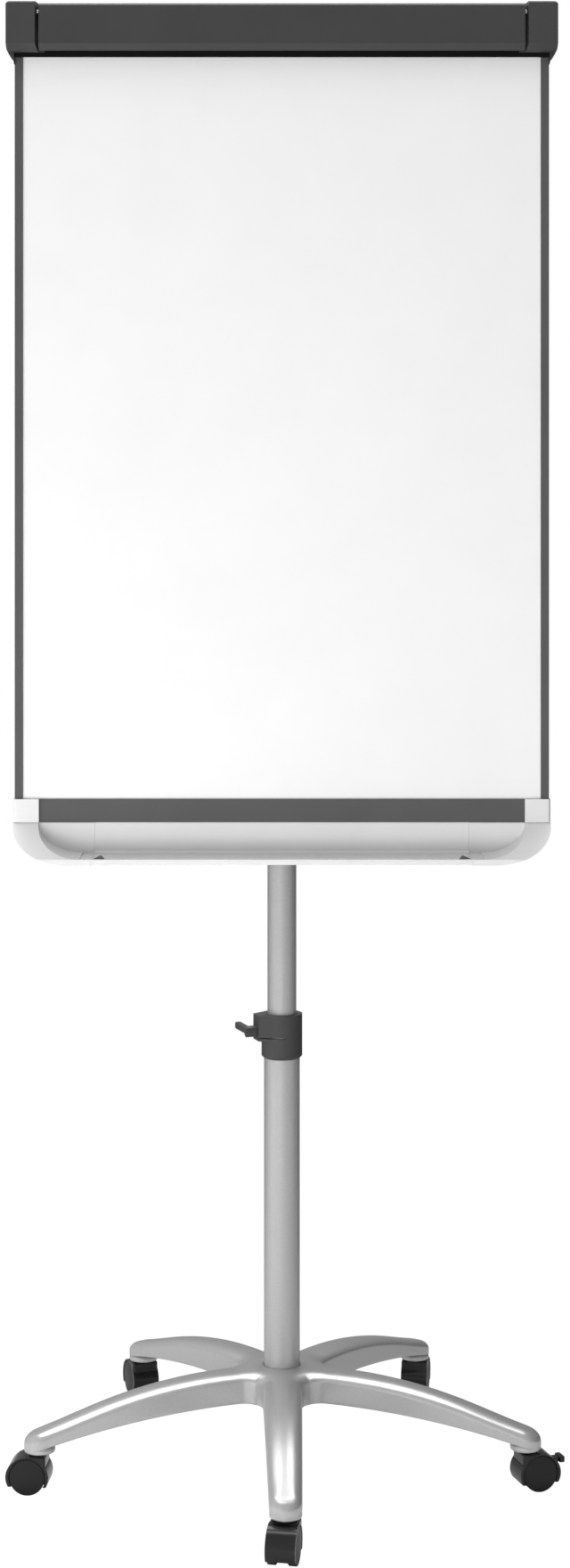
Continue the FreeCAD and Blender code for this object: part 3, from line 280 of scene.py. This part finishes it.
def belly_height(reach):
    """The arms' lower edge: level near the hub, then falling on a long arc."""
    past = max(0.0, reach - BELLY_AT)
    return BELLY - BELLY_ARC + math.sqrt(BELLY_ARC ** 2 - past ** 2)


def arm_rows():
    """Half of one arm in plan, as pairs of a centre-line point and the edge point it faces: from the
    hub's ring out between two arms, round the valley, along the side and round the tip."""
    slope = math.atan(SIDE_SLOPE)
    valley_reach = (VALLEY_ROUND + ROOT_HALF * math.cos(slope)) / math.sin(HALF_TURN - slope)
    valley = flat(HALF_TURN, valley_reach)
    first, last = math.pi + HALF_TURN, 1.5 * math.pi + slope
    side_start = (valley + flat(last, VALLEY_ROUND)).x
    tip = Vector((ARM_REACH, 0, 0))

    def between_arms(share):
        return flat(HALF_TURN, HUB_RING + (valley_reach - VALLEY_ROUND - HUB_RING) * share)

    def round_valley(share):
        return valley + flat(first + (last - first) * share, VALLEY_ROUND)

    def along_side(share):
        x = side_start + (ARM_REACH - side_start) * share
        return Vector((x, ROOT_HALF + SIDE_SLOPE * x, 0))

    def round_tip(share):
        return tip + flat(math.pi / 2 * (1 - share), TIP_HALF)

    spans = (
        (HUB_ROWS, HUB_RING, VALLEY_START, between_arms),
        (VALLEY_ROWS, VALLEY_START, VALLEY_END, round_valley),
        (ARM_ROWS, VALLEY_END, TIP_START, along_side),
        (TIP_ROWS, TIP_START, TIP_END, round_tip),
    )
    pairs = []
    for count, start, end, edge in spans:
        for step in range(count):
            share = step / count
            pairs.append((Vector((start + (end - start) * share, 0, 0)), edge(share)))
    pairs.append((Vector((TIP_END, 0, 0)), round_tip(1.0)))
    return pairs


def gap_to(point, line):
    """How far a plan point is from a chain of plan points."""

    def gap(a, b):
        along = b - a
        share = min(1.0, max(0.0, (point - a).dot(along) / along.length_squared))
        return (point - a - along * share).length

    return min(gap(a, b) for a, b in zip(line, line[1:]))


def base_star():
    """The cast base: ten mirrored half arms with a hollow underside, five bosses and a core."""
    pairs = arm_rows()
    rim = [edge for centre, edge in pairs[HUB_ROWS:]]
    columns = CROWN_COLUMNS + FLAT_COLUMNS

    def crown(point):
        """The top's height: the ridge line, falling away round an ellipse at the rim."""
        tip = min(1.0, max(0.0, (point.length - TIP_CROWN_START) / TIP_CROWN_SPAN))
        wide = CROWN_IN + (TIP_CROWN_IN - CROWN_IN) * tip
        deep = CROWN_DOWN + (TIP_CROWN_DOWN - CROWN_DOWN) * tip
        inside = min(1.0, gap_to(point, rim) / wide)
        return crest_height(point.length) - deep * (1 - math.sqrt(1 - (1 - inside) ** 2))

    def plan_row(row):
        """Plan points from the centre line to the edge, closer together near the edge."""
        centre, edge = pairs[row]
        length = (edge - centre).length
        points = []
        for column in range(columns + 1):
            turn = math.pi / 2 * min(1.0, (columns - column) / CROWN_COLUMNS)
            gap = CROWN_IN * (1 - math.cos(turn))
            if column < FLAT_COLUMNS:
                gap += (length - CROWN_IN) * (1 - column / FLAT_COLUMNS)
            share = 1 - gap / length
            if row < HUB_ROWS:
                blend = row / HUB_ROWS
                share = column / columns * (1 - blend) + max(0.0, share) * blend
                bowed = flat(HALF_TURN * share, centre.length + (edge.length - centre.length) * share)
                points.append(bowed.lerp(centre.lerp(edge, share), blend))
            else:
                points.append(centre.lerp(edge, share))
        return points

    def under_row(row):
        """One side of an arm's section: down the wall, in under the lip, up to the roof of the
        hollow and down the middle rib."""
        centre, edge = pairs[row]
        inward = (centre - edge).normalized()
        lip_in, rib_out = edge + inward * LIP, centre - inward * RIB
        rim_height, belly = crown(edge), belly_height(edge.length)
        fall = (belly + TURNED - rim_height) / WALL_ROWS
        wall = [edge + up(rim_height + fall * i) for i in range(WALL_ROWS + 1)]
        hollow = HUB_ROWS < row < HUB_ROWS + VALLEY_ROWS + ARM_ROWS
        inner = []
        for share in (0.0, 0.5, 1.0):
            point = lip_in.lerp(rib_out, share)
            inner.append(point + up(crown(point) - ROOF if hollow else belly))
        lips = [edge + inward * TURNED + up(belly), lip_in - inward * TURNED + up(belly),
                lip_in + up(belly + TURNED)]
        rib = [rib_out + up(belly + TURNED), centre + up(belly)]
        return wall + lips + inner + rib

    top = [[point + up(crown(point)) for point in plan_row(row)] for row in range(len(pairs))]
    bore = [[point.normalized() * BORE + up(height) for point in plan_row(0)]
            for height in (SEAT, HUB_TOP - TURNED, HUB_TOP)]
    floor = [[point + up(BELLY) for point in plan_row(row)] for row in range(HUB_ROWS + 1)]
    under = [under_row(row) for row in range(HUB_ROWS, len(pairs))]
    boss = [(SOCKET, BOSS_TOP), (SOCKET, BOSS_FLOOR + TURNED), (SOCKET + TURNED, BOSS_FLOOR),
            (TIP_HALF - TURNED, BOSS_FLOOR), (TIP_HALF, BOSS_FLOOR + TURNED), (TIP_HALF, BOSS_TOP)]
    core = [(BOLT_WAY, SEAT), (BOLT_WAY, CORE_FLOOR), (CORE - TURNED, CORE_FLOOR),
            (CORE, CORE_FLOOR + TURNED), (CORE, SEAT)]
    mesh = bmesh.new()
    for arm in range(ARMS):
        turn = Matrix.Rotation(math.tau * arm / ARMS + FIRST_ARM, 4, "Z")
        for side in (1, -1):
            place = turn @ Matrix.Diagonal((1, side, 1, 1))
            for sheet in (bore + top, floor, under):
                add_sheet(mesh, [[place @ point for point in row] for row in sheet])
        add_lathe(mesh, boss, turn @ Vector((ARM_REACH, 0, 0)))
    add_lathe(mesh, core, Vector((0, 0, 0)))
    finish_mesh(mesh, "base_star_smooth", "base_star")


base_star()

# ---- studio --------------------------------------------------------------------------------------

CAMERA_HEIGHT, CAMERA_DISTANCE = 1.1035, 3.073
LENS_PER_LONG_SIDE, SENSOR, SHIFT_X, SHIFT_Y = 1.70, 36.0, 0.002, -0.1784
FRONT_LIGHT, SIDE_LIGHT, BACK_LIGHT, SIDE_AT, WORLD_TURN = 0.72, 0.38, 0.05, 0.55, 55
FLOOR_HALF, FLOOR_TURN, FLOOR_DIMS_FROM, FLOOR_DIMS_TO = 12.0, 15, -0.6, 0.8
FLOOR_FRONT, FLOOR_BACK, FLOOR_ROUGH, FLOOR_SPECULAR = 0.95, 0.25, 0.9, 0.1
FLOOR_GLOW, FLOOR_SHADOW_SHARE = 1.12, 0.12
SOFTBOXES = (
    # name, place, aim, width, height, watts, whether it shows in reflections
    ("front", (-0.6, -2.3, 0.35), (0, 0, 0.9), 1.4, 0.6, 27, False),
    ("top_front", (-0.1, -1.1, 2.9), (0, 0, 0.8), 1.6, 1.0, 6, False),
    ("low_left", (-1.7, -1.0, 0.25), (-0.1, 0, 0.75), 0.7, 0.7, 12, False),
    ("overhead", (-0.15, 0.75, 2.6), (0, 0.05, 0.1), 2.2, 1.9, 58, True),
)


def to_back_right(tree, place, turn):
    """How far a point or direction lies towards the back, with the back turned to the right."""
    turned = tree.nodes.new("ShaderNodeMapping")
    turned.inputs["Rotation"].default_value = (0, 0, math.radians(turn))
    tree.links.new(place, turned.inputs["Vector"])
    parts = tree.nodes.new("ShaderNodeSeparateXYZ")
    tree.links.new(turned.outputs["Vector"], parts.inputs["Vector"])
    return parts.outputs["Y"]


def pale_floor():
    """White with soft shadows where it is seen; in light and reflections it dims towards the back."""
    made, tree, shader, place = shader_tree("pale_floor")
    depth = to_back_right(tree, place, FLOOR_TURN)
    behind = spread(tree, depth, 0, 1, FLOOR_DIMS_FROM, FLOOR_DIMS_TO)
    colour = tint(tree, behind, grey(FLOOR_FRONT), grey(FLOOR_BACK))
    tree.links.new(colour, shader.inputs["Base Color"])
    shader.inputs["Roughness"].default_value = FLOOR_ROUGH
    shader.inputs["Specular IOR Level"].default_value = FLOOR_SPECULAR
    seen = tree.nodes.new("ShaderNodeEmission")
    seen.inputs["Strength"].default_value = FLOOR_GLOW
    lit = tree.nodes.new("ShaderNodeMixShader")
    lit.inputs["Fac"].default_value = FLOOR_SHADOW_SHARE
    rays = tree.nodes.new("ShaderNodeLightPath").outputs["Is Camera Ray"]
    pick = tree.nodes.new("ShaderNodeMixShader")
    tree.links.new(seen.outputs["Emission"], lit.inputs[1])
    tree.links.new(shader.outputs["BSDF"], lit.inputs[2])
    tree.links.new(rays, pick.inputs["Fac"])
    tree.links.new(shader.outputs["BSDF"], pick.inputs[1])
    tree.links.new(lit.outputs["Shader"], pick.inputs[2])
    tree.links.new(pick.outputs["Shader"], tree.nodes["Material Output"].inputs["Surface"])
    return made


def studio_floor():
    corners = [(x * FLOOR_HALF, y * FLOOR_HALF, 0) for x, y in ((-1, -1), (1, -1), (1, 1), (-1, 1))]
    mesh = bpy.data.meshes.new("floor")
    mesh.from_pydata(corners, [], [(0, 1, 2, 3)])
    floor = bpy.data.objects.new("floor", mesh)
    bpy.context.scene.collection.objects.link(floor)
    mesh.materials.append(pale_floor())


def studio_world():
    """White where it is seen; in light and reflections it dims from front left to back right."""
    world = bpy.data.worlds.new("studio")
    world.use_nodes = True
    bpy.context.scene.world = world
    tree = world.node_tree
    around = tree.nodes["Background"]
    seen = tree.nodes.new("ShaderNodeBackground")
    seen.inputs["Color"].default_value = (1, 1, 1, 1)
    place = tree.nodes.new("ShaderNodeTexCoord").outputs["Generated"]
    depth = spread(tree, to_back_right(tree, place, WORLD_TURN), 0.0, 1.0, -1.0, 1.0)
    front_to_back = tree.nodes.new("ShaderNodeValToRGB")
    stops = front_to_back.color_ramp.elements
    stops[0].position, stops[0].color = 0.0, (*grey(FRONT_LIGHT), 1)
    stops[1].position, stops[1].color = 1.0, (*grey(BACK_LIGHT), 1)
    middle = stops.new(SIDE_AT)
    middle.color = (*grey(SIDE_LIGHT), 1)
    tree.links.new(depth, front_to_back.inputs["Fac"])
    tree.links.new(front_to_back.outputs["Color"], around.inputs["Color"])
    rays = tree.nodes.new("ShaderNodeLightPath").outputs["Is Camera Ray"]
    pick = tree.nodes.new("ShaderNodeMixShader")
    tree.links.new(rays, pick.inputs["Fac"])
    tree.links.new(around.outputs["Background"], pick.inputs[1])
    tree.links.new(seen.outputs["Background"], pick.inputs[2])
    tree.links.new(pick.outputs["Shader"], tree.nodes["World Output"].inputs["Surface"])


def softbox(name, place, aim, width, height, power, mirrored):
    light = bpy.data.lights.new(name, "AREA")
    light.shape = "RECTANGLE"
    light.size = width
    light.size_y = height
    light.energy = power
    thing = bpy.data.objects.new(name, light)
    thing.location = place
    thing.visible_glossy = mirrored
    thing.rotation_euler = (Vector(aim) - Vector(place)).to_track_quat("-Z", "Y").to_euler()
    bpy.context.scene.collection.objects.link(thing)


def studio_camera():
    data = bpy.data.cameras.new("camera")
    data.sensor_width = SENSOR
    data.lens = SENSOR * LENS_PER_LONG_SIDE
    data.shift_x = SHIFT_X
    data.shift_y = SHIFT_Y
    camera = bpy.data.objects.new("camera", data)
    camera.location = (0, -CAMERA_DISTANCE, CAMERA_HEIGHT)
    camera.rotation_euler = (math.pi / 2, 0, 0)
    bpy.context.scene.collection.objects.link(camera)
    bpy.context.scene.camera = camera


studio_floor()
studio_world()
for each_box in SOFTBOXES:
    softbox(*each_box)
studio_camera()
bpy.context.scene.view_settings.view_transform = "Standard"
